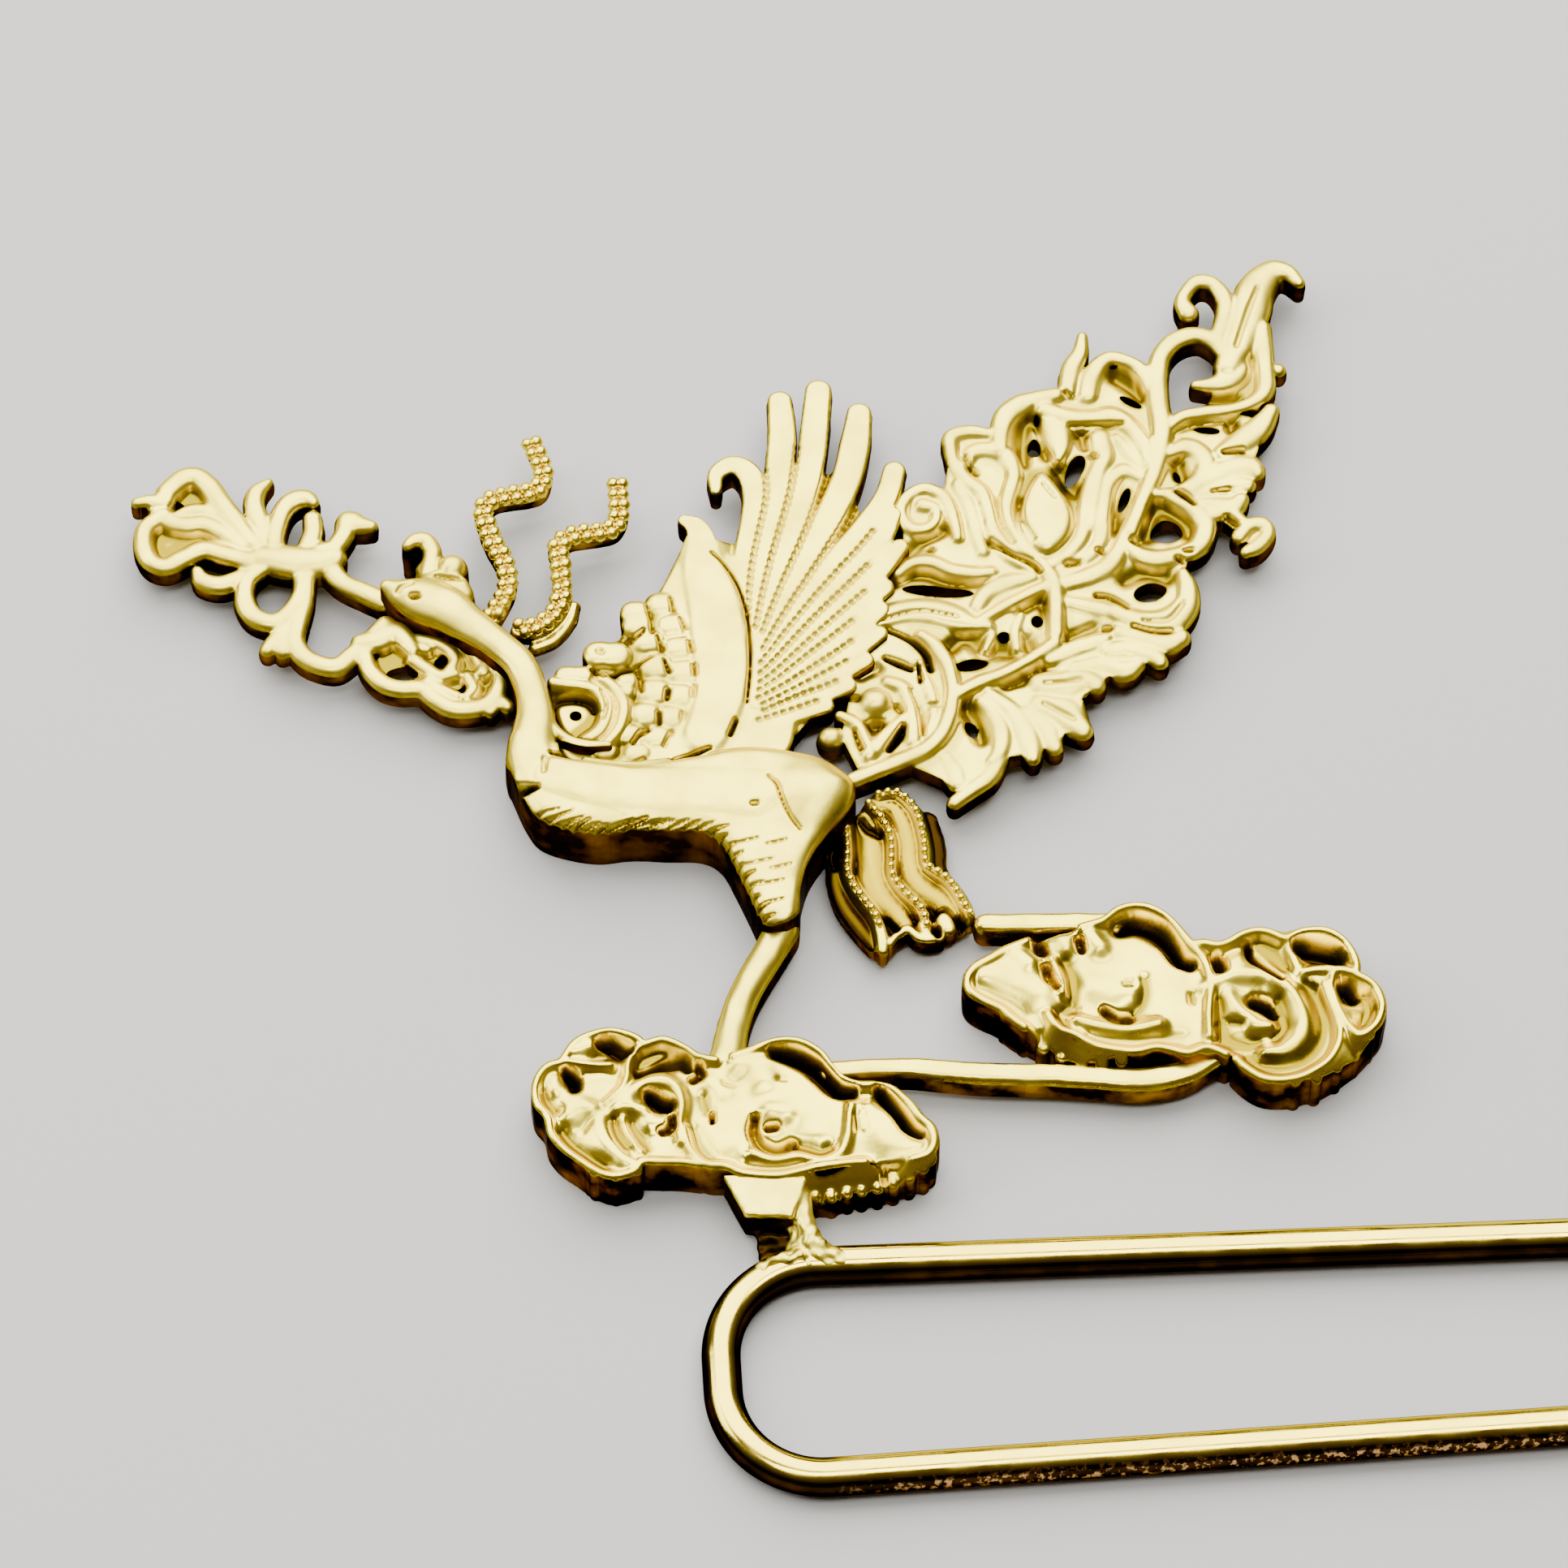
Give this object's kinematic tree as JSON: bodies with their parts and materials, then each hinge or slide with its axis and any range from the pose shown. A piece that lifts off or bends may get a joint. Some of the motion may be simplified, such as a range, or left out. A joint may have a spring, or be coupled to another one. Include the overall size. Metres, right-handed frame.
{
  "type": "hair stick with two prongs",
  "caption": "Two-pronged wire hair stick with a cast ornament: a crane holding a flower spray, a pierced lotus scroll behind its raised wing, and scrolled clouds below.",
  "frame": {"origin": "under the middle of the whole, on the surface that the hair stick lies on", "axes": "+X along the prongs towards their free ends, +Y from the fork towards the scroll's tip, +Z out of the ornament's front"},
  "size_m": [0.14, 0.0781, 0.0049],
  "materials": {
    "plated_wire": "bright pale-gold plating on round wire",
    "plated_bright": "bright pale-gold plating on cast metal",
    "plated_satin": "satin pale-gold plating on cast metal",
    "plated_deep": "deeper gold plating on beaded cast metal"
  },
  "bodies": {
    "root": {"hair_fork": "plated_wire", "lower_cloud": "plated_bright", "upper_cloud": "plated_bright", "cloud_strut": "plated_bright", "standing_leg": "plated_satin", "trailing_leg": "plated_bright", "bird_body": "plated_satin", "wing": "plated_satin", "scroll_fan": "plated_satin", "flower_spray": "plated_satin", "front_plume": "plated_deep", "rear_plume": "plated_deep", "tail": "plated_deep"}
  },
  "joints": []
}
